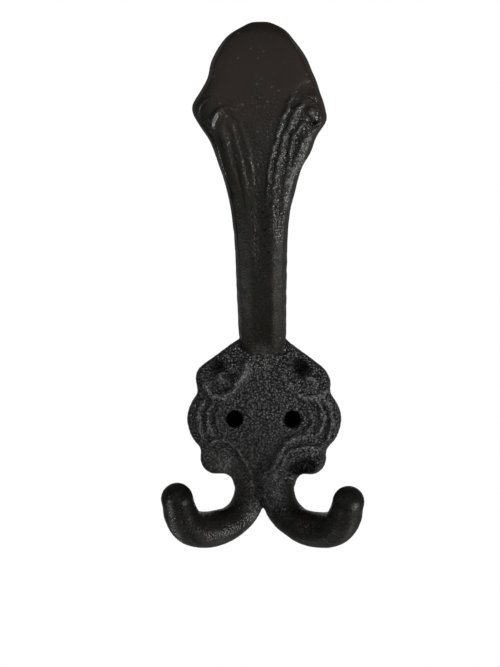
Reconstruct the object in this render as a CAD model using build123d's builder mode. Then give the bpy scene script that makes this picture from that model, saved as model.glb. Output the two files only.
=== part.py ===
from build123d import *
import os
from math import cos, exp, pi, radians, sin, sqrt

# Coat hook, one casting of grey iron: a scalloped wall plate with scroll relief, a long reeded
# arm that rises from it to a smooth bud between two curled scrolls, and two short lower hooks.
# X runs across the wall, Y into it and Z up. The wall is the plane Y = 0, and the origin lies
# on it, midway between the two screw holes. All sizes are in mm.

# Wall plate
plate_thickness = 4.4
plate_bevel = 1.2
plate_bevel_angle = 42.0
screw_spacing = 18.0
screw_hole_d = 5.2
screw_mouth_chamfer = 0.5
side_lobe_x = 12.6
side_lobe_r = 11.1
upper_lobe_x = 15.1
upper_lobe_z = 11.9
upper_lobe_r = 5.8
lower_lobe_x = 14.1
lower_lobe_z = -12.1
lower_lobe_r = 5.0
crown_z = 26.0
crown_r = 3.5
trunk_half_width = 9.2
trunk_foot_z = -20.5
waist_round = 3.5

# Relief on the plate: ridges of half a hexagon. A scroll starts at its foot with a heading in
# degrees and winds inwards through arcs, each a radius and a turn
relief_r = 1.15
relief_sink = 0.2
relief_sides = 6
upper_scroll_foot = (4.6, 19.5)
upper_scroll_heading = -76.0
upper_scroll_arcs = [(34.0, 20), (4.9, 80), (4.4, 80), (3.2, 90), (2.3, 110)]
upper_eye = (14.8, 11.9)
lower_scroll_foot = (2.4, -20.5)
lower_scroll_heading = 76.0
lower_scroll_arcs = [(40.0, -14), (7.8, -62), (4.4, -80), (3.4, -90), (2.6, -100)]
lower_eye = (13.6, -12.3)
eye_r = 1.8
eye_height = 1.1
eye_taper = 38.0
eye_sides = 8
ripples = 3
ripple_first_r = 5.7
ripple_step = 2.7
ripple_half_angle = 43.0
ripple_half_angle_step = 3.0

# Upper arm: its middle line is a Bezier curve in the plane X = 0
arm_root_z = 23.0
arm_root_handle = (30.0, 22.0)
arm_reach = 61.0
arm_top_z = 111.8
arm_top_handle = (1.0, 48.0)
arm_depth = 9.2
arm_root_extra_depth = 2.6
arm_bevel = 3.8
arm_bevel_knee = 0.3
arm_bevel_limit = 0.9
arm_sections = 20
arm_section_grading = 2.0
stem_half_width = 7.1
shoulder_half_width = 18.0
bud_half_width = 14.4

# Shares of the arm's length at which its outline changes
root_spread = 0.09
flare_spread = 0.144
flare_power = 1.33
shoulder_at = 0.785
shoulder_spread = 0.062
bud_middle_at = 0.85
bud_thinning_at = 0.9

# Relief on the arm: a trough down its front, and on each side four reeds and a scroll. A reed
# runs between two shares of the arm's length, at two shares of its half width
trough_r = 3.6
trough_depth = 0.9
trough_from = 0.02
trough_to = 0.7
trough_full_after = 0.125
trough_end_clearance = 0.1
trough_steps = 12
trough_sides = 8
reed_r = 1.0
reed_points = 7
reed_steps = 9
reed_end_swell = 0.12
reed_runs = [
    ((0.52, 0.20), (0.80, 0.44)),
    ((0.47, 0.38), (0.79, 0.58)),
    ((0.58, 0.75), (0.775, 0.64)),
    ((0.60, 0.82), (0.75, 0.85)),
]
shoulder_scroll_foot = (5.3, -1.5)
shoulder_scroll_heading = 68.0
shoulder_scroll_arcs = [(20.0, -12), (4.6, -85), (3.6, -80), (2.8, -90), (2.0, -100)]
shoulder_eye = (12.2, -0.4)

# Lower hooks: round bars that leave the plate side by side and turn outwards and up. The line
# gives the corners of straight runs, and arcs of one radius join them
hook_line = [
    (6.5, 1.0, -12.0),
    (-0.3, -4.6, -28.4),
    (22.6, -18.9, -35.3),
    (24.8, -30.4, -23.1),
]
hook_turn_r = 16.0
hook_r = 4.9
hook_sides = 20
hook_tip_round = 3.8
hook_tip_leans = (15.0, 45.0, 75.0)


def bar(centres, radii, sides):
    """A bar of regular polygons lofted along a smooth line through the centres, with its radii
    at even steps along the line."""
    with BuildPart() as made:
        with BuildLine():
            axis = Spline(*centres)
        across = (axis % 0).cross(Vector(0, 1, 0))
        for step, radius in enumerate(radii):
            along = step / (len(radii) - 1)
            heading = axis % along
            across = across - heading * across.dot(heading)
            with BuildSketch(Plane(axis @ along, x_dir=across, z_dir=heading)):
                RegularPolygon(radius, sides)
        loft()
    return made.part


def scroll(plane, foot, heading, arcs):
    """A ridge that winds over a plane through arcs that touch end to end."""
    with BuildPart() as made:
        with BuildLine() as path:
            start = Vector(*foot)
            towards = Vector(1, 0).rotate(Axis.Z, heading)
            for radius, turn in arcs:
                arc = JernArc(start, towards, radius, turn)
                start, towards = arc @ 1, arc % 1
        first = path.line % 0
        with BuildSketch(Plane(path.line @ 0, x_dir=first.cross(Vector(0, 0, 1)), z_dir=first)):
            RegularPolygon(relief_r, relief_sides)
        sweep()
    return made.part.moved(plane.location)


def eye(plane, centre):
    """The raised button at the middle of a scroll."""
    with BuildPart() as made:
        with BuildSketch(plane):
            with Locations(centre):
                RegularPolygon(eye_r, eye_sides)
        extrude(amount=eye_height, taper=eye_taper)
    return made.part


# The arm ----------------------------------------------------------------------------------------
arm_line = Bezier(
    (0, 0, arm_root_z),
    (0, -arm_root_handle[0], arm_root_z + arm_root_handle[1]),
    (0, arm_top_handle[0] - arm_reach, arm_top_z - arm_top_handle[1]),
    (0, -arm_reach, arm_top_z),
)


def arm_half_width(along):
    """The stem swells into the shoulders by an exponential flare. Above them the shoulders sink
    into the bud, whose upper end is half an ellipse."""
    if along <= shoulder_at:
        flare = exp(-(((shoulder_at - along) / flare_spread) ** flare_power))
        return stem_half_width + (shoulder_half_width - stem_half_width) * flare
    shoulder = exp(-(((along - shoulder_at) / shoulder_spread) ** 2))
    rise = max(0.0, (along - bud_middle_at) / (1 - bud_middle_at))
    bud = bud_half_width * sqrt(1 - rise**2)
    return bud + (shoulder_half_width - bud_half_width) * shoulder


def arm_thickness(along):
    """The arm is deepest at its root and keeps one depth up to the bud's tip, which is rounded
    off as half an ellipse."""
    rise = max(0.0, (along - bud_thinning_at) / (1 - bud_thinning_at))
    root = arm_root_extra_depth * exp(-((along / root_spread) ** 2))
    return (arm_depth + root) * sqrt(1 - rise**2)


def arm_plane(along):
    """The plane across the arm at a share of its length, with local -Y towards the front."""
    return Plane(arm_line @ along, x_dir=Vector(1, 0, 0), z_dir=arm_line % along)


def arm_front(along, x, lift=0.0):
    """A point on the arm's front, which is flat between the bevels, or lifted off it."""
    past_flat = abs(x) - (arm_half_width(along) - arm_bevel)
    gentle = past_flat * arm_bevel_knee / (1 - arm_bevel_knee)
    steep = arm_bevel - (arm_bevel - past_flat) * (1 - arm_bevel_knee) / arm_bevel_knee
    drop = max(0.0, gentle, steep)
    return arm_plane(along).from_local_coords(Vector(x, drop - arm_thickness(along) / 2 - lift, 0))


with BuildPart() as arm:
    for step in range(arm_sections):
        along = 1 - (1 - step / arm_sections) ** arm_section_grading
        half_width, half_depth = arm_half_width(along), arm_thickness(along) / 2
        bevel = min(arm_bevel, arm_bevel_limit * half_depth)
        knee = bevel * arm_bevel_knee
        right = [
            (half_width - bevel, half_depth),
            (half_width - knee, half_depth - knee),
            (half_width, half_depth - bevel),
            (half_width, bevel - half_depth),
            (half_width - knee, knee - half_depth),
            (half_width - bevel, -half_depth),
        ]
        with BuildSketch(arm_plane(along)):
            with BuildLine():
                Polyline(right, [(-x, y) for x, y in reversed(right)], close=True)
            make_face()
    loft()

# The trough is cut by a bar that dips into the arm's front and comes out of it again
trough_centres = []
for step in range(trough_steps + 1):
    share = step / trough_steps
    along = trough_from + (trough_to - trough_from) * share
    dip = trough_depth * min(1.0, share / trough_full_after) * (1 - share**3)
    dip -= trough_end_clearance * share
    trough_centres.append(arm_front(along, 0, trough_r - dip))
trough = bar(trough_centres, [trough_r] * trough_steps, trough_sides)

# Each reed drifts across the arm as the square of its run, and is thin at both ends
reeds = []
reed_swell = []
for step in range(reed_steps):
    phase = reed_end_swell + (1 - 2 * reed_end_swell) * step / (reed_steps - 1)
    reed_swell.append(sin(pi * phase))
for (first_at, first_spread), (last_at, last_spread) in reed_runs:
    centres = []
    for point in range(reed_points):
        share = point / (reed_points - 1)
        along = first_at + (last_at - first_at) * share
        spread = first_spread + (last_spread - first_spread) * share**2
        centres.append(arm_front(along, spread * arm_half_width(along)))
    reeds.append(bar(centres, [reed_r * swell for swell in reed_swell], relief_sides))

# Scrolls, eyes and ripples on the right half ----------------------------------------------------
plate_front = Plane.XZ.offset(plate_thickness - relief_sink)
shoulder_out = arm_plane(shoulder_at).y_dir * -1
shoulder_front = Plane(arm_front(shoulder_at, 0, -relief_sink), x_dir=(1, 0, 0), z_dir=shoulder_out)
relief = [
    scroll(plate_front, upper_scroll_foot, upper_scroll_heading, upper_scroll_arcs),
    scroll(plate_front, lower_scroll_foot, lower_scroll_heading, lower_scroll_arcs),
    scroll(shoulder_front, shoulder_scroll_foot, shoulder_scroll_heading, shoulder_scroll_arcs),
    eye(plate_front, upper_eye),
    eye(plate_front, lower_eye),
    eye(shoulder_front, shoulder_eye),
]
for ripple in range(ripples):
    radius = ripple_first_r + ripple_step * ripple
    reach = ripple_half_angle - ripple_half_angle_step * ripple
    foot = (screw_spacing / 2 + radius * cos(radians(reach)), -radius * sin(radians(reach)))
    relief.append(scroll(plate_front, foot, 90 - reach, [(radius, 2 * reach)]))

# The right lower hook rises out of the plate, and its tip is rounded off in steps that lean in
tip_step = 2 * hook_tip_round * sin(pi / (4 * len(hook_tip_leans)))
with BuildPart() as lower_hook:
    with BuildLine():
        line = FilletPolyline(*hook_line, radius=hook_turn_r)
    with BuildSketch(Plane(line @ 0, z_dir=line % 0)):
        RegularPolygon(hook_r, hook_sides)
    sweep()
    outwards = Axis(line @ 1, line % 1)
    for lean in hook_tip_leans:
        tip = lower_hook.faces().sort_by(outwards)[-1]
        extrude(tip, amount=tip_step * cos(radians(lean)), taper=lean)

# The casting ------------------------------------------------------------------------------------
with BuildPart() as plate:
    with BuildSketch(Plane.XZ) as outline:
        with Locations((-upper_lobe_x, upper_lobe_z), (upper_lobe_x, upper_lobe_z)):
            Circle(upper_lobe_r)
        with Locations((0, crown_z)):
            Circle(crown_r)
        make_hull()
        with Locations((-side_lobe_x, 0), (side_lobe_x, 0)):
            Circle(side_lobe_r)
        with Locations((-lower_lobe_x, lower_lobe_z), (lower_lobe_x, lower_lobe_z)):
            Circle(lower_lobe_r)
        with Locations((0, trunk_foot_z / 2)):
            Rectangle(2 * trunk_half_width, -trunk_foot_z)
        offset(amount=waist_round)
        offset(amount=-waist_round)
    extrude(amount=plate_thickness - plate_bevel)
    bevel_foot = plate.faces().sort_by(Axis.Y)[0]
    extrude(bevel_foot, amount=plate_bevel, taper=plate_bevel_angle)
    with Locations(Plane.XZ.offset(plate_thickness)):
        with GridLocations(screw_spacing, 0, 2, 1):
            Hole(screw_hole_d / 2)
    mouths = plate.edges().filter_by(lambda edge: edge.is_closed).group_by(Axis.Y)[0]
    chamfer(mouths, screw_mouth_chamfer)

right_half = [lower_hook.part] + reeds + relief
with BuildPart() as casting:
    add(arm.part)
    add(trough, mode=Mode.SUBTRACT)
    add([plate.part] + right_half + [piece.mirror(Plane.YZ) for piece in right_half])
    split(bisect_by=Plane.XZ, keep=Keep.TOP)
casting.part.label = "coat_hook"

os.makedirs("parts", exist_ok=True)
export_step(casting.part, "parts/coat_hook.step")
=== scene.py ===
import bpy
import numpy as np
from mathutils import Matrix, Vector


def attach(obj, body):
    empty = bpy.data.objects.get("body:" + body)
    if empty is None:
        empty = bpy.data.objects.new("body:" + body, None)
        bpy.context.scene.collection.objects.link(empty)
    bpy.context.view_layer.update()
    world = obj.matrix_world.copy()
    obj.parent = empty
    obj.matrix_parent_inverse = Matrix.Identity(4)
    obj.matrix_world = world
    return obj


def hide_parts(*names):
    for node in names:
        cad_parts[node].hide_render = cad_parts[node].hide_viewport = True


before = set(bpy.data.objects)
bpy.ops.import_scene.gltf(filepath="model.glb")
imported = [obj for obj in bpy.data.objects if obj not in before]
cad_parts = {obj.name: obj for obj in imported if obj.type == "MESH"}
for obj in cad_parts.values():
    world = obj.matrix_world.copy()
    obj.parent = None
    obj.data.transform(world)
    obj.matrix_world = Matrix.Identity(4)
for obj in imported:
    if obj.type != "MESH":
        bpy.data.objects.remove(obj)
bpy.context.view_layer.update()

# The rough casting: one pour of grey iron, taken from the sand mould as plate, arm and lower
# hooks in one piece. Its solid is copied, its loose triangles are merged, and a fine even skin
# is laid over it, so that corners get the small rounds that sand gives them.
MM = 0.001
MERGE_WITHIN = 0.001 * MM
SKIN_CELL = 0.43 * MM
SOFTEN_FACTOR, SOFTEN_PASSES = 0.5, 5

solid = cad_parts["coat_hook"]
blank = bpy.data.objects.new("blank", solid.data.copy())
bpy.context.scene.collection.objects.link(blank)
merge = blank.modifiers.new("merge", "WELD")
merge.merge_threshold = MERGE_WITHIN
skin = blank.modifiers.new("skin", "REMESH")
skin.mode = "VOXEL"
skin.voxel_size = SKIN_CELL
soften = blank.modifiers.new("soften", "SMOOTH")
soften.factor = SOFTEN_FACTOR
soften.iterations = SOFTEN_PASSES
bpy.context.view_layer.update()
skinned = blank.evaluated_get(bpy.context.evaluated_depsgraph_get())
casting_mesh = bpy.data.meshes.new_from_object(skinned)
bpy.data.objects.remove(blank)
casting_mesh.materials.clear()


def rows_of_three(items, field):
    """One field of a mesh's items, such as the places of its points, as an array with a row of
    three numbers for each."""
    flat = np.empty(len(items) * 3, np.float32)
    items.foreach_get(field, flat)
    return flat.reshape(-1, 3).astype(float)


# The skin's points in millimetres, and the way that the rough casting faces at each
points = rows_of_three(casting_mesh.vertices, "co") / MM
facing = rows_of_three(casting_mesh.vertex_normals, "vector")

# The plate's relief: scrolls, buttons, ripples and hollows that the pattern maker carved in the
# front of the wall plate, and the soft fillets that join the two shanks of the lower hooks to it.
# It is a height over the wall, in millimetres, to which the skin's front moves out or in.
PLATE_FRONT = 4.4
TRUNK_FOOT_Z, TRUNK_SLOPE = -20.5, 3
SCREW_X = 9.0
HOOK_CORNERS = np.array(
    [(6.5, 1.0, -12.0), (-0.3, -4.6, -28.4), (22.6, -18.9, -35.3), (24.8, -30.4, -23.1)]
)
HOOK_TURN_R, HOOK_R = 16.0, 4.9
SHANK_FOOT_Z, SHANK_OUTER_X = -33, 12
SHANKS_BLEND, FILLET_BLEND = 0.8, 0.45


def smooth_step(value, low, high):
    """Rises from 0 at low to 1 at high, level at both ends."""
    share = np.clip((value - low) / (high - low), 0.0, 1.0)
    return share * share * (3 - 2 * share)


def bump_of(distance, half_width):
    """A rounded ridge or button of height 1: half a cosine wave that ends at the half width."""
    return 0.5 + 0.5 * np.cos(np.pi * np.clip(distance / half_width, 0, 1))


def button(across, up, centre, radius):
    """A rounded button of height 1 about a centre."""
    return bump_of(np.hypot(across - centre[0], up - centre[1]), radius)


def soft_max(first, second, softness):
    """The larger of two heights, rounded where they cross: the logarithm of the sum of their
    exponentials, with both heights measured in units of the softness."""
    return softness * np.logaddexp(first / softness, second / softness)


def sand(places, wavelength, seed, waves=28):
    """Unevenness with about the given wavelength: the sum of many sine waves that run in random
    directions, over the square root of half their number, which makes its usual size 1."""
    rng = np.random.default_rng(seed)
    runs = rng.normal(size=(waves, 3))
    pace = (2 * np.pi / wavelength) * rng.uniform(0.7, 1.4, (waves, 1))
    runs *= pace / np.linalg.norm(runs, axis=1)[:, None]
    total = np.zeros(len(places))
    for run, phase in zip(runs, rng.uniform(0, 2 * np.pi, waves)):
        total += np.sin(places @ run + phase)
    return total / np.sqrt(waves / 2)


def hook_axis(corners, radius, spacing=0.15):
    """Points along straight runs joined by arcs that touch them. At a corner the arc starts at
    radius * tan(half the turn) before it."""
    line, start = [], corners[0]
    for before, corner, after in zip(corners, corners[1:], corners[2:]):
        into = (corner - before) / np.linalg.norm(corner - before)
        out = (after - corner) / np.linalg.norm(after - corner)
        turn = np.arccos(into @ out)
        inwards = (out - into * (into @ out)) / np.sin(turn)
        reach = radius * np.tan(turn / 2)
        first = corner - into * reach
        run = np.linspace(0, 1, int(np.linalg.norm(first - start) / spacing))[:, None]
        line.append(start + (first - start) * run)
        angle = np.linspace(0, turn, int(radius * turn / spacing))[:, None]
        line.append(first + radius * (into * np.sin(angle) + inwards * (1 - np.cos(angle))))
        start = corner + out * reach
    run = np.linspace(0, 1, int(np.linalg.norm(corners[-1] - start) / spacing))[:, None]
    line.append(start + (corners[-1] - start) * run)
    return np.concatenate(line)


def through(knots, per_span=24):
    """Points on a smooth line through knots: between two of them it is the Catmull-Rom cubic of
    the four nearest."""
    k = np.array(knots, float)
    k = np.vstack([2 * k[0] - k[1], k, 2 * k[-1] - k[-2]])
    t = np.linspace(0, 1, per_span)[:, None, None]
    a, b, c, d = k[:-3], k[1:-2], k[2:-1], k[3:]
    square = 2 * a - 5 * b + 4 * c - d
    cube = 3 * b - 3 * c + d - a
    spans = 0.5 * (2 * b + (c - a) * t + square * t**2 + cube * t**3)
    return spans.transpose(1, 0, 2).reshape(-1, 2)


def ridge(across, up, carving, rise_to, sink_from, sink_by):
    """Height of one rib, reed or groove: a rounded ridge along its line. It rises over the
    line's first share and sinks by a part of its height over the last."""
    knots, tall, half_width = carving
    middle = through(knots)
    gaps = np.hypot(across[:, None] - middle[None, :, 0], up[:, None] - middle[None, :, 1])
    nearest = gaps.argmin(axis=1)
    share = nearest / (len(middle) - 1)
    fade = smooth_step(share, 0.0, rise_to) * (1 - sink_by * smooth_step(share, sink_from, 1.0))
    return tall * bump_of(gaps[np.arange(len(across)), nearest], half_width) * fade


# Each rib: its line over the wall by X and Z, its height and its half width. The upper left and
# upper right scrolls, the lower left scroll and the rib inside it, the two lower right ribs
RIBS = [
    (
        [(-4.6, 19.6), (-5.6, 16.0), (-7.9, 10.6), (-10.6, 7.8)]
        + [(-14.3, 6.9), (-17.6, 9.4), (-18.4, 13.0)],
        1.15,
        1.7,
    ),
    ([(4.8, 17.6), (6.0, 14.0), (8.4, 10.2), (11.4, 7.6), (15.4, 6.8), (18.6, 8.8), (19.2, 12.6)], 0.85, 1.8),
    (
        [(-2.4, -25.0), (-3.5, -18.2), (-5.7, -12.6), (-8.8, -8.6)]
        + [(-12.8, -6.4), (-16.8, -8.0), (-18.4, -11.6)],
        0.75,
        1.2,
    ),
    ([(-9.0, -14.0), (-10.6, -10.4), (-14.4, -8.9), (-17.4, -11.8)], 0.5, 1.2),
    ([(1.4, -24.5), (3.4, -14.6), (6.6, -8.4), (11.0, -5.6), (15.4, -5.0)], 0.95, 1.7),
    ([(4.3, -20.0), (6.2, -12.8), (8.9, -9.9), (12.6, -8.6), (16.6, -9.2), (19.0, -12.2)], 0.8, 1.2),
]
RIB_RISES_TO, RIB_SINKS_FROM, RIB_SINKS_BY = 0.15, 0.8, 0.7
# Each button and each hollow: its X and Z, its height or depth, and its radius
BUTTONS = [(-13.1, 12.6, 1.3, 2.4), (15.0, 12.2, 1.3, 2.5), (-12.1, -13.4, 1.4, 2.3)]
HOLLOWS = [
    (-13.4, 16.8, 1.3, 3.9),
    (-9.6, 13.0, 0.6, 2.6),
    (12.2, 16.4, 1.7, 4.3),
    (15.1, 12.2, 0.9, 1.1),
    (-15.6, -16.6, 0.5, 2.6),
    (13.4, -14.7, 2.0, 4.4),
    (10.0, -15.6, 1.3, 3.8),
    (-SCREW_X, 0.0, 0.45, 5.0),
    (SCREW_X, 0.0, 0.45, 5.0),
]
HOLLOW_LEFT_ON_RIBS = 0.2
# Each ripple: its radius round the left and the right screw hole, and its height
RIPPLES = [(5.6, 6.0, 0.6), (8.3, 9.1, 1.0), (11.0, 11.7, 1.0)]
RIPPLE_HALF_WIDTH = 1.3
RIPPLE_FULL_TO, RIPPLE_ENDS_AT, RIPPLE_SHORTER_BY = 34, 50, 3  # degrees


def plate_relief(x, z):
    """Height over the plate's front: the highest rib, button or ripple, less the hollows. The
    ripples are arcs round each screw hole on its outer side."""
    height = np.zeros_like(x)
    for rib in RIBS:
        height = np.maximum(height, ridge(x, z, rib, RIB_RISES_TO, RIB_SINKS_FROM, RIB_SINKS_BY))
    for *centre, tall, radius in BUTTONS:
        height = np.maximum(height, tall * button(x, z, centre, radius))
    from_screw = np.hypot(np.abs(x) - SCREW_X, z)
    bearing = np.abs(np.degrees(np.arctan2(z, np.abs(x) - SCREW_X)))
    for ripple, (left_r, right_r, tall) in enumerate(RIPPLES):
        shorter = RIPPLE_SHORTER_BY * ripple
        beside = 1 - smooth_step(bearing, RIPPLE_FULL_TO - shorter, RIPPLE_ENDS_AT - shorter)
        gap = np.abs(from_screw - np.where(x < 0, left_r, right_r))
        height = np.maximum(height, tall * bump_of(gap, RIPPLE_HALF_WIDTH) * beside)
    for *centre, deep, radius in HOLLOWS:
        bare = 1 - (1 - HOLLOW_LEFT_ON_RIBS) * smooth_step(height, 0.0, 0.6)
        height -= deep * button(x, z, centre, radius) * bare
    return height


bar_line = hook_axis(HOOK_CORNERS, HOOK_TURN_R)


def shank_front(x, z):
    """How far the front of one shank stands off the wall: the front of a ball of the bar's
    radius that is rolled along its middle line. Beside the bar it is put behind the wall."""
    shank = bar_line[(bar_line[:, 2] > SHANK_FOOT_Z) & (bar_line[:, 0] < SHANK_OUTER_X)]
    inside = HOOK_R**2 - (x[:, None] - shank[None, :, 0]) ** 2 - (z[:, None] - shank[None, :, 2]) ** 2
    ball = np.where(inside > 0, np.sqrt(np.maximum(inside, 0)), -9)
    return (ball - shank[None, :, 1]).max(axis=1)


# The carved part of the skin is the plate's front, from the crown under the arm's root down to
# where the shanks part, without the plate's sides and the arm
x, y, z = points.T
on_front = (facing[:, 1] < -0.3) & (y < 0.9 - PLATE_FRONT) & (y > -13) & (z < 24) & (z > -26.5)
on_front &= (y > -PLATE_FRONT - 1.4) | (z < -10)
on_front &= (z > -19.5) | (np.abs(x) < 9.5)

carved_points = points[on_front]
x, y, z = carved_points.T
ground = PLATE_FRONT - TRUNK_SLOPE * np.maximum(TRUNK_FOOT_Z - z, 0)
shanks = soft_max(shank_front(x, z), shank_front(-x, z), SHANKS_BLEND)
carved = plate_relief(x + 0.2 * sand(carved_points, 3.5, 11), z + 0.2 * sand(carved_points, 3.5, 12))
carved *= 1 + 0.22 * np.clip(sand(carved_points, 2.4, 13), -1.2, 1.2) * (carved > 0)
level = soft_max(shanks, ground, FILLET_BLEND) + carved
inwards = smooth_step(-facing[on_front, 1], 0.45, 0.8) * smooth_step(z, -26.5, -23)
points[on_front, 1] = y + np.clip(-level - y, -1.6, 1.6) * inwards

# How far the carved detail stands up at each point of the skin, for the lighter high relief, partly worn and
# partly a painted highlight, and for the painted shade in the hollows
raised = np.zeros(len(points))
raised[on_front] = carved

# The arm's relief: a trough up the middle of a bevelled stem, reeds that fan out of it to both
# sides, the curled shoulders that they end in, and the smooth bud above. It is a height over the
# arm's middle line, by the share of the arm's length and the distance across it.
ARM_LINE = np.array([(0, 23.0), (-30, 45.0), (-60, 63.8), (-61, 111.8)])
ARM_ROOT_Z, ARM_RISE, ARM_LENGTH = 23.0, 89.0, 112.92
ARM_DEPTH, ARM_BEVEL, BEVEL_KNEE = 9.2, 3.8, 0.3
ROOT_EXTRA_DEPTH, ROOT_SPREAD = 2.6, 0.09
STEM, SHOULDER, BUD = 7.1, 18.0, 14.4  # half widths
SHOULDER_AT, SHOULDER_SPREAD = 0.785, 0.062
FLARE_SPREAD, FLARE_POWER = 0.144, 1.33
BUD_MIDDLE_AT, BUD_THINNING_AT = 0.85, 0.9
TROUGH_DEPTH, TROUGH_HALF_WIDTH, TROUGH_AT_ROOT = 0.7, 3.3, 0.15
TROUGH_FROM, TROUGH_TO = 0.02, 0.70


def arm_line_at(t):
    """Points and first derivatives of the cubic Bezier curve of the arm's middle line, in the
    plane of Y and Z."""
    t = t[:, None]
    a, b, c, d = ARM_LINE
    spot = (1 - t) ** 3 * a + 3 * (1 - t) ** 2 * t * b + 3 * (1 - t) * t**2 * c + t**3 * d
    slope = 3 * ((1 - t) ** 2 * (b - a) + 2 * (1 - t) * t * (c - b) + t**2 * (d - c))
    return spot, slope


def arm_place(y, z, steps=14, samples=2001):
    """For points beside the arm: the share of its length, and the direction and distance in
    front of the middle line. The nearest point of the line is found by Newton's steps."""
    t = np.clip((z - ARM_ROOT_Z) / ARM_RISE, 0, 1)
    here = np.stack([y, z], axis=1)
    for _ in range(steps):
        spot, slope = arm_line_at(t)
        t = np.clip(t + ((here - spot) * slope).sum(axis=1) / (slope**2).sum(axis=1), 0, 1)
    spot, slope = arm_line_at(t)
    heading = slope / np.hypot(*slope.T)[:, None]
    front = np.stack([-heading[:, 1], heading[:, 0]], axis=1)
    even = np.linspace(0, 1, samples)
    run = np.concatenate([[0], np.cumsum(np.hypot(*np.diff(arm_line_at(even)[0], axis=0).T))])
    return np.interp(t, even, run / run[-1]), front, ((here - spot) * front).sum(axis=1)


def arm_half_width(along):
    """The stem swells into the shoulders by an exponential flare. Above them the shoulders sink
    into the bud, whose upper end is half an ellipse."""
    below = np.maximum(SHOULDER_AT - along, 0) / FLARE_SPREAD
    flare = STEM + (SHOULDER - STEM) * np.exp(-(below**FLARE_POWER))
    rise = np.clip((along - BUD_MIDDLE_AT) / (1 - BUD_MIDDLE_AT), 0, 1)
    above = (along - SHOULDER_AT) / SHOULDER_SPREAD
    bud = BUD * np.sqrt(1 - rise**2) + (SHOULDER - BUD) * np.exp(-(above**2))
    return np.where(along <= SHOULDER_AT, flare, bud)


def arm_front(along, x):
    """Height of the arm's front over its middle line: flat, then sloping gently and steeply
    down to the edge, with a soft trough up the middle. The bud's gentle slope is the rounder."""
    rise = np.clip((along - BUD_THINNING_AT) / (1 - BUD_THINNING_AT), 0, 1)
    depth = ARM_DEPTH + ROOT_EXTRA_DEPTH * np.exp(-((along / ROOT_SPREAD) ** 2))
    half_depth = depth * np.sqrt(1 - rise**2) / 2
    past_flat = np.abs(x) - arm_half_width(along) + ARM_BEVEL
    on_bud = smooth_step(along, 0.81, 0.89)
    gentle = soft_max(0, past_flat, 0.25 + 0.65 * on_bud) * BEVEL_KNEE / (1 - BEVEL_KNEE)
    gentle *= 1 - 0.45 * on_bud
    steep = ARM_BEVEL - (ARM_BEVEL - past_flat) * (1 - BEVEL_KNEE) / BEVEL_KNEE
    share = np.clip((along - TROUGH_FROM) / (TROUGH_TO - TROUGH_FROM), 0, 1)
    deepens = TROUGH_AT_ROOT + (1 - TROUGH_AT_ROOT) * smooth_step(along, 0.28, 0.50)
    dip = TROUGH_DEPTH * deepens * (1 - share**3)
    return half_depth - np.maximum(gentle, steep) - dip * bump_of(np.abs(x), TROUGH_HALF_WIDTH)


# Each reed: its line by millimetres across the arm and along it, its height and its half width.
# Four tall rough ones on the right, three faint ones on the left and the small arch over them
REEDS = [
    ([(1.5, 58), (2.0, 67.9), (3.0, 76.6), (4.9, 83.1), (6.8, 88.8), (8.8, 92.8), (9.8, 94.6)], 0.75, 1.15),
    ([(2.9, 50), (3.5, 64.3), (5.2, 76.6), (6.9, 83.1), (9.0, 87.8), (10.8, 90.6), (12.6, 91.8)], 0.85, 1.20),
    ([(5.6, 60), (6.9, 68.8), (8.2, 79.6), (10.0, 84.9), (12.0, 87.4)], 0.70, 1.00),
    ([(6.0, 54), (7.8, 70.2), (11.4, 79.6), (14.0, 84.0)], 1.15, 2.10),
    ([(-2.2, 66), (-2.8, 76.6), (-4.4, 83.1), (-6.2, 88.2)], 0.18, 1.10),
    ([(-3.4, 62), (-4.0, 68.3), (-5.4, 76.6), (-7.4, 84.5), (-8.4, 88.0)], 0.22, 1.20),
    ([(-6.2, 62), (-7.4, 70.2), (-9.6, 79.6), (-11.0, 86.4)], 0.28, 1.90),
    ([(-13.6, 83.4), (-13.0, 86.2), (-11.4, 89.4), (-8.8, 90.7), (-6.6, 90.0)], 0.65, 1.05),
]
REED_RISES_TO, REED_SINKS_FROM, REED_SINKS_BY = 0.35, 0.85, 0.6
# Each groove in the same way: the crescent over the right shoulder, and one inside the arch
GROOVES = [
    ([(8.4, 89.4), (9.6, 92.2), (11.4, 94.6), (13.6, 95.6), (16.0, 95.4), (18.0, 94.2)], 0.75, 2.30),
    ([(-7.0, 86.5), (-9.0, 88.2), (-11.4, 86.6), (-12.0, 83.6)], 0.45, 1.10),
]
GROOVE_RISES_TO, GROOVE_SINKS_FROM = 0.25, 0.6
# The right shoulder's button with a ring round it and a pit under it, and the shoulders' domes
EYE, EYE_R, EYE_HEIGHT, EYE_SINK = (14.0, 89.5), 2.0, 1.75, 0.2
RING_R, RING_HALF_WIDTH, RING_DEPTH = 2.4, 1.3, 0.8
PIT, PIT_R, PIT_DEPTH = (13.8, 86.5), 1.6, 0.85
DOME_X, DOME_UP, RIGHT_DOME, LEFT_DOME = 14.0, 87.6, 0.9, 0.35


def arm_relief(along, x):
    """Height over the arm's front: the highest reed or button, less the grooves and the pit."""
    up = ARM_LENGTH * along
    height = np.zeros_like(x)
    for reed in REEDS:
        height = np.maximum(height, ridge(x, up, reed, REED_RISES_TO, REED_SINKS_FROM, REED_SINKS_BY))
    for groove in GROOVES:
        height -= ridge(x, up, groove, GROOVE_RISES_TO, GROOVE_SINKS_FROM, 1)
    from_eye = np.hypot(x - EYE[0], up - EYE[1])
    height -= RING_DEPTH * bump_of(np.abs(from_eye - RING_R), RING_HALF_WIDTH) * (height < 0.4)
    height = np.maximum(height, EYE_HEIGHT * bump_of(from_eye, EYE_R) - EYE_SINK)
    return height - PIT_DEPTH * button(x, up, PIT, PIT_R)


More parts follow.
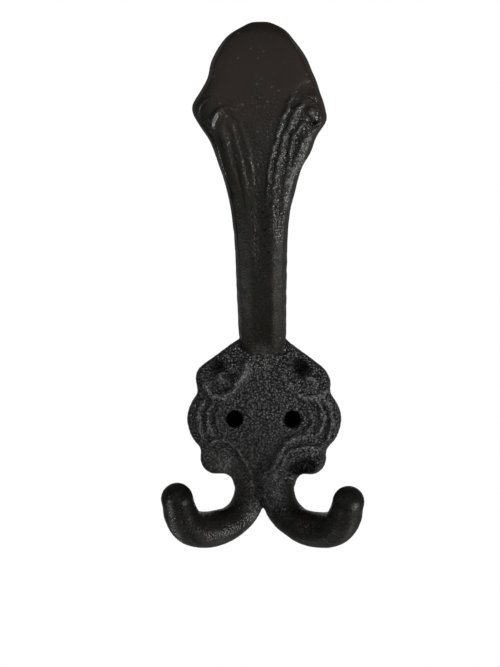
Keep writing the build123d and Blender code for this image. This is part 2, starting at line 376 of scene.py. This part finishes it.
def shoulder_rise(along, x):
    """The two shoulders stand up as soft domes where the reeds curl over."""
    up = ARM_LENGTH * along
    right = 1 - smooth_step(np.hypot(x - DOME_X, up - DOME_UP), 4.6, 8.2)
    left = 1 - smooth_step(np.hypot(x + DOME_X, up - DOME_UP), 2.0, 9.5)
    return (RIGHT_DOME * right + LEFT_DOME * left) * smooth_step(up, 78, 86)


near_arm = (points[:, 2] > 20) & (facing[:, 1] < 0.3)
x, y, z = points[near_arm].T
along, front, height = arm_place(y, z)
frontal = (facing[near_arm][:, 1:] * front).sum(axis=1)
inside = smooth_step(arm_half_width(along) - np.abs(x), 0.6, 1.8)
detail = arm_relief(along, x + 0.12 * sand(points[near_arm], 3.5, 14)) * inside
target = arm_front(along, x) + detail + shoulder_rise(along, x) * inside
move = (target - height) * smooth_step(frontal, 0.55, 0.85) * (height > 1.5)
move *= smooth_step(y, -PLATE_FRONT - 1.0, -PLATE_FRONT - 3.0) * (1 - smooth_step(along, 0.985, 0.997))
move = np.clip(move, -1.8, 1.8)
points[near_arm, 1] += move * front[:, 0]
points[near_arm, 2] += move * front[:, 1]

# The arm's relief is lighter, partly from wear and partly as a painted highlight on the side of the
# main light: fully on the right reeds, more on the left arch, and hardly on the rest of the left half
painted_highlight_share = 0.15 + 0.85 * smooth_step(x, -2, 2) + 0.5 * smooth_step(z, 79, 82) * (x < 0)
raised[near_arm] += detail * (frontal > 0.3) * (z > 30) * painted_highlight_share

# The uneven halves: the sand gave way a little on each side of the casting, which came out
# different from its pattern. The edges of the arm, the plate and the right shank are shifted by
# soft swellings of up to 1.2 mm, and the bud's tip stands a little higher.
TIP_HIGHER = 0.7
LOBE_SHIFT, SHANK_SHIFT, CROWN_SHIFT = 0.5, 0.8, 0.6
# Each swelling of the arm, left and right: how far out, where along the arm, and over what share
SWELLINGS = {
    -1: [
        (0.5, 0.20, 0.30),
        (-0.6, 0.715, 0.030),
        (0.9, 0.798, 0.036),
        (-0.4, 0.872, 0.022),
        (-0.9, 0.985, 0.015),
    ],
    1: [
        (0.2, 0.30, 0.20),
        (0.5, 0.585, 0.040),
        (1.0, 0.690, 0.045),
        (1.2, 0.764, 0.024),
        (0.5, 0.860, 0.030),
        (-0.5, 0.955, 0.030),
    ],
}

on_arm = (points[:, 2] > 20) & (points[:, 1] < -6.5)
x, y, z = points[on_arm].T
along = arm_place(y, z)[0]
for side, swellings in SWELLINGS.items():
    out = sum(size * np.exp(-(((along - at) / spread) ** 2)) for size, at, spread in swellings)
    share = np.clip(side * points[on_arm, 0] / arm_half_width(along), 0, 1.2)
    points[on_arm, 0] += side * out * smooth_step(share, 0.2, 1.0)
points[on_arm, 2] += TIP_HIGHER * smooth_step(along, 0.92, 1.0)

x, y, z = points.T
right_lobe = smooth_step(x, 13, 19) * (1 - smooth_step(z, 0, 17))
lower_left_lobe = smooth_step(-x, 10, 16) * (1 - smooth_step(z, -11.5, -6.5)) * (y > -6)
right_shank = smooth_step(x, 4, 8) * (1 - smooth_step(z, -19.5, -14.5)) * (y > -16)
crown_sides = smooth_step(np.abs(x), 5, 10) * smooth_step(z, 10, 16) * (y > -6)
crown_sides *= 1 - smooth_step(z, 24, 28)
points[:, 0] += LOBE_SHIFT * (right_lobe - lower_left_lobe)
points[:, 0] += SHANK_SHIFT * right_shank - CROWN_SHIFT * crown_sides

# The lower hooks: two round bars that leave the plate side by side and turn outwards and up to
# blunt tips. Their skin is drawn to a true round about the middle line, fuller in the bend, and
# ends in half a ball. The left one is a little thicker and reaches a little higher.
ROUNDED_SHARE = 0.985
BEND_AT, BEND_SPREAD, BEND_SWELL = 0.66, 0.34, 0.10
LEFT_THICKER, TIP_THINNER = 0.02, 0.05
LEFT_HIGHER, RIGHT_HIGHER = 1.6, 0.9
LEFT_WIDER, RIGHT_WIDER = 0.3, 0.8
ROWS_AT_ONCE = 8000

rounded_line = bar_line[: int(len(bar_line) * ROUNDED_SHARE)]
on_hook = (y < -4) & ((z < -21) | ((np.abs(x) > 15) & (y < -15) & (z < 0)))
side = np.where(points[on_hook, 0] < 0, -1.0, 1.0)
mirror = np.stack([side, np.ones_like(side), np.ones_like(side)], axis=1)
folded = points[on_hook] * mirror
gap = np.empty(len(folded))
nearest = np.empty(len(folded), int)
for first in range(0, len(folded), ROWS_AT_ONCE):
    rows = slice(first, first + ROWS_AT_ONCE)
    gaps = np.linalg.norm(folded[rows, None, :] - rounded_line[None, :, :], axis=2)
    nearest[rows] = gaps.argmin(axis=1)
    gap[rows] = gaps.min(axis=1)
share = nearest / (len(rounded_line) - 1)
fuller = BEND_SWELL * bump_of(np.abs(share - BEND_AT), BEND_SPREAD) + LEFT_THICKER * (side < 0)
bar_r = HOOK_R * (1 + fuller) * (1 - TIP_THINNER * smooth_step(share, 0.85, 1.0))
round_off = smooth_step(share, 0.40, 0.55) * (np.abs(gap - HOOK_R) < 1.6)
folded += (folded - rounded_line[nearest]) * ((bar_r / np.maximum(gap, 1) - 1) * round_off)[:, None]
folded[:, 2] += np.where(side < 0, LEFT_HIGHER, RIGHT_HIGHER) * smooth_step(share, 0.75, 1.0)
folded[:, 0] += np.where(side < 0, LEFT_WIDER, RIGHT_WIDER) * smooth_step(share, 0.50, 0.80)
points[on_hook] = folded * mirror

# The finished casting: the shaped skin with the marks of sand and of use, and with painted light
# and shade. The sand was coarse on the plate and the reeds, and fine where the pattern was smooth.
# The high relief is lighter, partly from wear and partly as a painted highlight, and painted shade
# darkens the hollows, the trough, the lower hooks and the sides.
UNEVENNESS = 0.035  # of the surface, both fine and long
LEFT_ROLL, LEFT_ROLL_R = (-15.5, 88.5), 6.5
EYE_FACE, EYE_FACE_R = (14.4, 89.5), 3.0
# Each spot that is lighter, partly from wear and partly as painted light where shade falls: its X
# and Z, how much lighter it is, and its radius
WORN_AND_LIT_SPOTS = [
    (-12.6, -13.6, 1.2, 3.6),
    (2.8, -18.5, 1.0, 5.5),
    (3.6, -23.5, 1.1, 6.0),
    (-2.6, -28.0, 0.8, 5.5),
    (16.8, 7.5, 0.9, 3.8),
    (-6.2, 14.0, 0.8, 3.6),
    (0.0, 19.0, 0.3, 7.0),
]


def between(value, rise, fall):
    """1 between two ranges and 0 outside them: it rises over the first and falls over the
    second."""
    return smooth_step(value, *rise) * (1 - smooth_step(value, *fall))


x, y, z = points.T
sideways, backwards = facing[:, 0], facing[:, 1]
along = np.where(z > 24, arm_place(y, z)[0], 0.0)
up = ARM_LENGTH * along
from_edge = arm_half_width(along) - np.abs(x)

# Where the places are that differ in finish, each from 0 to 1
patchy = sand(points, 5.0, 4)
reeds_end = 0.70 + 0.012 * np.minimum(np.abs(x), 10) + 0.02 * patchy
in_reeds = between(along, (0.34, 0.66), (reeds_end - 0.08, reeds_end + 0.06))
in_reeds *= smooth_step(from_edge, 0.3, 1.6) * (0.12 + 0.42 * smooth_step(x, -1, 4))
in_trough = (1 - smooth_step(np.abs(x), 2.2, 3.4)) * between(along, (0.03, 0.10), (0.50, 0.72))
on_plate = between(z, (-36, -24), (28, 30)) * (1 - smooth_step(np.abs(x), 5, 9) * (z < -20))
on_plate *= 1 - smooth_step(-y, 5.4, 6.6) * (z > 12)
on_sides = smooth_step(backwards, -0.6, -0.1)
on_left_shank = smooth_step(-x, 0, 3) * (1 - smooth_step(z, -14, -8)) * on_plate
on_left_reeds = smooth_step(-x, 0, 2) * smooth_step(along, 0.50, 0.60)
# the arm's left-facing edge, which gets painted shade
left_edge_shade = smooth_step(-sideways, 0.40, 0.65) * between(along, (0.35, 0.5), (0.76, 0.82))
on_left_roll = button(x, up, LEFT_ROLL, LEFT_ROLL_R)
on_eye = button(x, up, EYE_FACE, EYE_FACE_R)
on_bud = smooth_step(along, 0.82, 0.86)
on_bars = smooth_step(-y, 9, 15) * (z < -10)
# a painted highlight stripe on the left-facing side of the left hook's bend
left_bend_highlight = bump_of(np.abs(sideways + 0.38), 0.32) * smooth_step(-y, 14, 19) * (x < 0) * (z < -22)

# How coarse the sand left it
sandiness = np.maximum.reduce(
    [0.9 * on_plate * (y > -14), in_reeds, 0.5 * on_sides * (1 - 0.8 * (z > 30)), 0.2 + 0.06 * patchy]
)
for smoother, place in (
    (0.45, on_left_shank),
    (0.9, on_left_roll),
    (0.75, on_bud),
    (0.7, on_eye),
    (0.45, on_left_reeds),
):
    sandiness *= 1 - smoother * place

# How much lighter it is: the high relief and a few spots, partly worn and partly painted light, a
# painted highlight stripe on the left hook's bend, and a few nicks that shine on the smooth iron
wear_and_painted_light = smooth_step(raised, 0.25, 0.95) + 1.2 * left_bend_highlight
# lighter spots, partly worn and partly painted light
for *centre, bare, radius in WORN_AND_LIT_SPOTS:
    wear_and_painted_light += bare * button(x, z, centre, radius) * (backwards < -0.2) * (y > -14)
nicks = smooth_step(sand(points, 1.2, 9), 2.0, 2.6)
wear_and_painted_light += 0.5 * nicks * (1 - smooth_step(sandiness, 0.25, 0.5))
sandiness = np.maximum(sandiness, 0.6 * left_bend_highlight)

# Painted shade, which darkens the colour and takes away gloss where little light falls, with dark
# pits up the trough; and how brown its black is
pits = smooth_step(sand(points, 1.7, 10), 0.7, 1.4) * smooth_step(along, 0.2, 0.4)
painted_shade_and_pits = np.maximum.reduce(
    [
        # painted shade in the hollows of the relief
        smooth_step(-raised, 0.12, 1.05),
        # painted shade up the arm's trough, which faces down, with dark pits in it
        0.4 * in_trough,
        0.9 * in_trough * pits,
        # painted shade on the lower hooks, darker towards the tips, and none on the left bend's painted
        # highlight
        (0.5 + 0.2 * smooth_step(z, -33, -25)) * on_bars * (1 - left_bend_highlight),
        # painted shade on the right-facing side of the left hook
        0.95 * smooth_step(sideways, 0.1, 0.3) * smooth_step(-x, 12, 20) * on_bars,
        # painted shade on the arm's left-facing edge
        0.7 * left_edge_shade,
        # painted shade on the left roll
        0.45 * on_left_roll,
        # painted shade on the surfaces that face sideways and back
        0.5 * on_sides,
    ]
)
browned = np.clip(0.18 + 0.20 * sand(points, 9.0, 8) + smooth_step(along, 0.72, 0.82), 0, 1)
# the left roll's painted shade is olive, not brown
browned *= 1 - on_left_roll

# The unevenness lies across the skin, and the back stays flat on the wall
uneven = UNEVENNESS * (sandiness * sand(points, 1.2, 5) + sand(points, 7.0, 6))
points += facing * uneven[:, None]
points[:, 1] = np.where(backwards > 0.7, np.minimum(points[:, 1], 0), points[:, 1])

casting_mesh.vertices.foreach_set("co", (points * MM).astype(np.float32).ravel())
# the layers for the shader: sand, wear with painted light, painted shade with its pits, and brown
for name, values in (
    ("sandiness", sandiness),
    ("wear_and_painted_light", np.clip(wear_and_painted_light, 0, 1)),
    ("painted_shade_and_pits", painted_shade_and_pits),
    ("browned", browned),
):
    layer = casting_mesh.attributes.new(name, "FLOAT", "POINT")
    layer.data.foreach_set("value", values.astype(np.float32))
casting_mesh.shade_smooth()
casting_mesh.update()
casting = bpy.data.objects.new("casting", casting_mesh)
bpy.context.scene.collection.objects.link(casting)
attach(casting, "root")
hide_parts("coat_hook")

# Its finish is black, between olive and brown. Grains stand up where the sand was coarse, and
# their tops are lighter and take the lighter colour of wear and painted light first. That colour
# is also smoother, and the painted shade is darker and takes the gloss away
OLIVE = (0.0094, 0.0091, 0.0060, 1)
BROWN = (0.0150, 0.0085, 0.0054, 1)
SANDY = (0.0042, 0.0042, 0.0040, 1)
GRAIN_TOPS = (0.055, 0.055, 0.055, 1)
# the lighter colour of wear and of painted light
WORN_AND_LIT_IRON = (0.14, 0.14, 0.14, 1)
# the dark of the painted shade and of the pits
SHADE_AND_PIT_DARK = (0.002, 0.002, 0.002, 1)
GRAINS_PER_METRE, DRIFTS_PER_METRE, DRIFT_DETAIL = 1300, 700, 2
GRAIN_HEIGHT = 0.68 * MM

iron = bpy.data.materials.new("blackened_iron")
iron.use_nodes = True
nodes, links = iron.node_tree.nodes, iron.node_tree.links
shader = nodes["Principled BSDF"]
shader.inputs["Metallic"].default_value = 0.0
shader.inputs["Specular IOR Level"].default_value = 0.26


def layer_value(name):
    """The value that the casting's mesh carries under a name."""
    node = nodes.new("ShaderNodeAttribute")
    node.attribute_name = name
    return node.outputs["Fac"]


def blend(factor, first, second):
    """A colour that goes from the first to the second as the factor rises."""
    node = nodes.new("ShaderNodeMix")
    node.data_type = "RGBA"
    links.new(factor, node.inputs["Factor"])
    for name, colour in (("A", first), ("B", second)):
        if isinstance(colour, tuple):
            node.inputs[name].default_value = colour
        else:
            links.new(colour, node.inputs[name])
    return node.outputs["Result"]


def ramp(value, low, high, start=0.0, end=1.0):
    """A number that goes from low to high as the value goes from start to end."""
    node = nodes.new("ShaderNodeMapRange")
    node.inputs["From Min"].default_value = start
    node.inputs["From Max"].default_value = end
    node.inputs["To Min"].default_value = low
    node.inputs["To Max"].default_value = high
    links.new(value, node.inputs["Value"])
    return node.outputs["Result"]


def combine(operation, first, second):
    """Two numbers made into one: MULTIPLY, SUBTRACT or MAXIMUM."""
    node = nodes.new("ShaderNodeMath")
    node.operation = operation
    links.new(first, node.inputs[0])
    links.new(second, node.inputs[1])
    return node.outputs["Value"]


sandy, wear_and_light_amount, shade_and_pits = (layer_value(name) for name in ("sandiness", "wear_and_painted_light", "painted_shade_and_pits"))
where = nodes.new("ShaderNodeTexCoord")
grains = nodes.new("ShaderNodeTexVoronoi")
grains.inputs["Scale"].default_value = GRAINS_PER_METRE
drift = nodes.new("ShaderNodeTexNoise")
drift.inputs["Scale"].default_value = DRIFTS_PER_METRE
drift.inputs["Detail"].default_value = DRIFT_DETAIL
for pattern in (grains, drift):
    links.new(where.outputs["Object"], pattern.inputs["Vector"])
grain = combine("SUBTRACT", drift.outputs["Fac"], grains.outputs["Distance"])
bump = nodes.new("ShaderNodeBump")
bump.inputs["Strength"].default_value = 1.0
bump.inputs["Distance"].default_value = GRAIN_HEIGHT
links.new(combine("MULTIPLY", grain, sandy), bump.inputs["Height"])
links.new(bump.outputs["Normal"], shader.inputs["Normal"])

tops = ramp(grain, 0.0, 1.0, start=-0.15, end=0.35)
tone = blend(layer_value("browned"), OLIVE, BROWN)
tone = blend(sandy, tone, SANDY)
tone = blend(ramp(combine("MULTIPLY", sandy, tops), 0.0, 0.6), tone, GRAIN_TOPS)
# wear and painted light make the grain tops lighter
tone = blend(combine("MULTIPLY", ramp(wear_and_light_amount, 0.0, 0.75), ramp(tops, 0.25, 1.3)), tone, WORN_AND_LIT_IRON)
# painted shade and pits make the colour darker
tone = blend(ramp(shade_and_pits, 0.0, 0.85), tone, SHADE_AND_PIT_DARK)
links.new(tone, shader.inputs["Base Color"])
links.new(ramp(wear_and_light_amount, 0.34, 0.24), shader.inputs["Roughness"])
# painted shade also takes the gloss away
links.new(ramp(shade_and_pits, 0.32, 0.06), shader.inputs["Specular IOR Level"])
casting_mesh.materials.append(iron)

# The studio: a pale floor far below the hook, which hangs where its wall would hold it, and a
# backdrop behind it that looks white to the camera and in the iron's gloss, and gives off no
# light of its own. Behind each screw hole stands a black disc, painted shade where a wall would
# be in shadow.
FLOOR_Z, FLOOR_REACH = -1, 2
BACKDROP_Y = 1.2
LEFT, RIGHT, FOOT, TOP = -0.36, 0.30, -0.38, 0.44
DISC_R, DISC_BACK, DISC_CORNERS = 3.6, 0.2, 32


def plain_finish(name, shade, roughness):
    """A material of one even grey: a shade of 0 is black and 1 is white."""
    finish = bpy.data.materials.new(name)
    finish.use_nodes = True
    paint = finish.node_tree.nodes["Principled BSDF"]
    paint.inputs["Base Color"].default_value = (shade, shade, shade, 1)
    paint.inputs["Roughness"].default_value = roughness
    return finish


def flat_sheet(name, corners, finish):
    """A flat sheet of the studio with its corners in metres, given in turn round its edge."""
    mesh = bpy.data.meshes.new(name)
    mesh.from_pydata(corners, [], [list(range(len(corners)))])
    mesh.materials.append(finish)
    sheet = bpy.data.objects.new(name, mesh)
    bpy.context.scene.collection.objects.link(sheet)


floor_edge = [(-FLOOR_REACH, -FLOOR_REACH), (FLOOR_REACH, -FLOOR_REACH)]
floor_edge += [(FLOOR_REACH, BACKDROP_Y), (-FLOOR_REACH, BACKDROP_Y)]
flat_sheet("floor", [(x, y, FLOOR_Z) for x, y in floor_edge], plain_finish("pale", 0.8, 0.9))

white = plain_finish("white_backdrop", 0.8, 0.9)
nodes, links = white.node_tree.nodes, white.node_tree.links
path = nodes.new("ShaderNodeLightPath")
seen = combine("MAXIMUM", path.outputs["Is Camera Ray"], path.outputs["Is Glossy Ray"])
seen = combine("MAXIMUM", seen, path.outputs["Is Transmission Ray"])
either = nodes.new("ShaderNodeMixShader")
links.new(seen, either.inputs["Fac"])
links.new(nodes["Principled BSDF"].outputs["BSDF"], either.inputs[1])
links.new(nodes.new("ShaderNodeEmission").outputs["Emission"], either.inputs[2])
links.new(either.outputs["Shader"], nodes["Material Output"].inputs["Surface"])
backdrop_edge = [(LEFT, FOOT), (RIGHT, FOOT), (RIGHT, TOP), (LEFT, TOP)]
flat_sheet("backdrop", [(x, BACKDROP_Y, z) for x, z in backdrop_edge], white)

# black discs as painted shade behind the screw holes
dark = plain_finish("hole_shadow", 0.002, 0.5)
dark.node_tree.nodes["Principled BSDF"].inputs["Specular IOR Level"].default_value = 0.0
turns = np.linspace(0, 2 * np.pi, DISC_CORNERS, endpoint=False)
for side, name in ((-1, "hole_dark_left"), (1, "hole_dark_right")):
    ring_x = side * SCREW_X + DISC_R * np.cos(turns)
    ring = np.stack([ring_x, np.full(DISC_CORNERS, DISC_BACK), DISC_R * np.sin(turns)], axis=1)
    flat_sheet(name, (ring * MM).tolist(), dark)

# The light and the camera: soft boxes on both sides, of which the large one at the right is the
# main one, a narrow beam from the upper left, a large screen in front and a weak even surround.
# The camera is level, stands a little right of the hook and is turned a little to the left.
SURROUND = 0.20
SENSOR, VIEW_HEIGHT, VIEW_DISTANCE = 24, 206.8, 500  # millimetres
CAMERA_PLACE = (0.0088, -0.5044, 0.0266)
CAMERA_AIMS_LEFT_BY = 12.9  # millimetres at the view's distance

world = bpy.data.worlds.new("studio")
world.use_nodes = True
bpy.context.scene.world = world
world.node_tree.nodes["Background"].inputs["Color"].default_value = (1, 1, 1, 1)
world.node_tree.nodes["Background"].inputs["Strength"].default_value = SURROUND


def soft_box(name, place, aim, width, height, watts, spread=180):
    """A rectangular lamp at a place, turned so that it faces a point. The spread is the angle of
    its beam, in degrees, as a grid in front of it limits it."""
    lamp = bpy.data.lights.new(name, "AREA")
    lamp.shape = "RECTANGLE"
    lamp.size, lamp.size_y = width, height
    lamp.energy = watts
    lamp.spread = np.radians(spread)
    holder = bpy.data.objects.new(name, lamp)
    bpy.context.scene.collection.objects.link(holder)
    holder.location = place
    holder.rotation_euler = (Vector(aim) - Vector(place)).to_track_quat("-Z", "Y").to_euler()


soft_box("right_box", (0.50, -0.31, -0.30), (0, 0, 0.03), 0.30, 0.30, 4.9)
soft_box("left_box", (-0.50, -0.34, -0.08), (0, 0, -0.03), 0.15, 0.15, 0.22)
soft_box("low_right_box", (0.30, 0.10, -0.54), (0, 0, 0.03), 0.20, 0.20, 0.32)
soft_box("low_left_box", (-0.30, 0.12, -0.54), (0, 0, 0.03), 0.20, 0.20, 0.14)
soft_box("high_left_box", (-0.35, -0.45, 0.25), (0.004, -0.008, -0.030), 0.08, 0.08, 0.0038, spread=7)
soft_box("screen", (0.05, -1.10, 0.35), (0.05, 0, 0.35), 1.5, 2.0, 3.6)

camera = bpy.data.cameras.new("camera")
camera.sensor_fit = "VERTICAL"
camera.sensor_height = SENSOR
camera.lens = SENSOR * VIEW_DISTANCE / VIEW_HEIGHT
stand = bpy.data.objects.new("camera", camera)
bpy.context.scene.collection.objects.link(stand)
stand.location = CAMERA_PLACE
stand.rotation_euler = (np.pi / 2, 0, np.arctan2(CAMERA_AIMS_LEFT_BY, VIEW_DISTANCE))
bpy.context.scene.camera = stand

bpy.context.scene.view_settings.view_transform = "Standard"
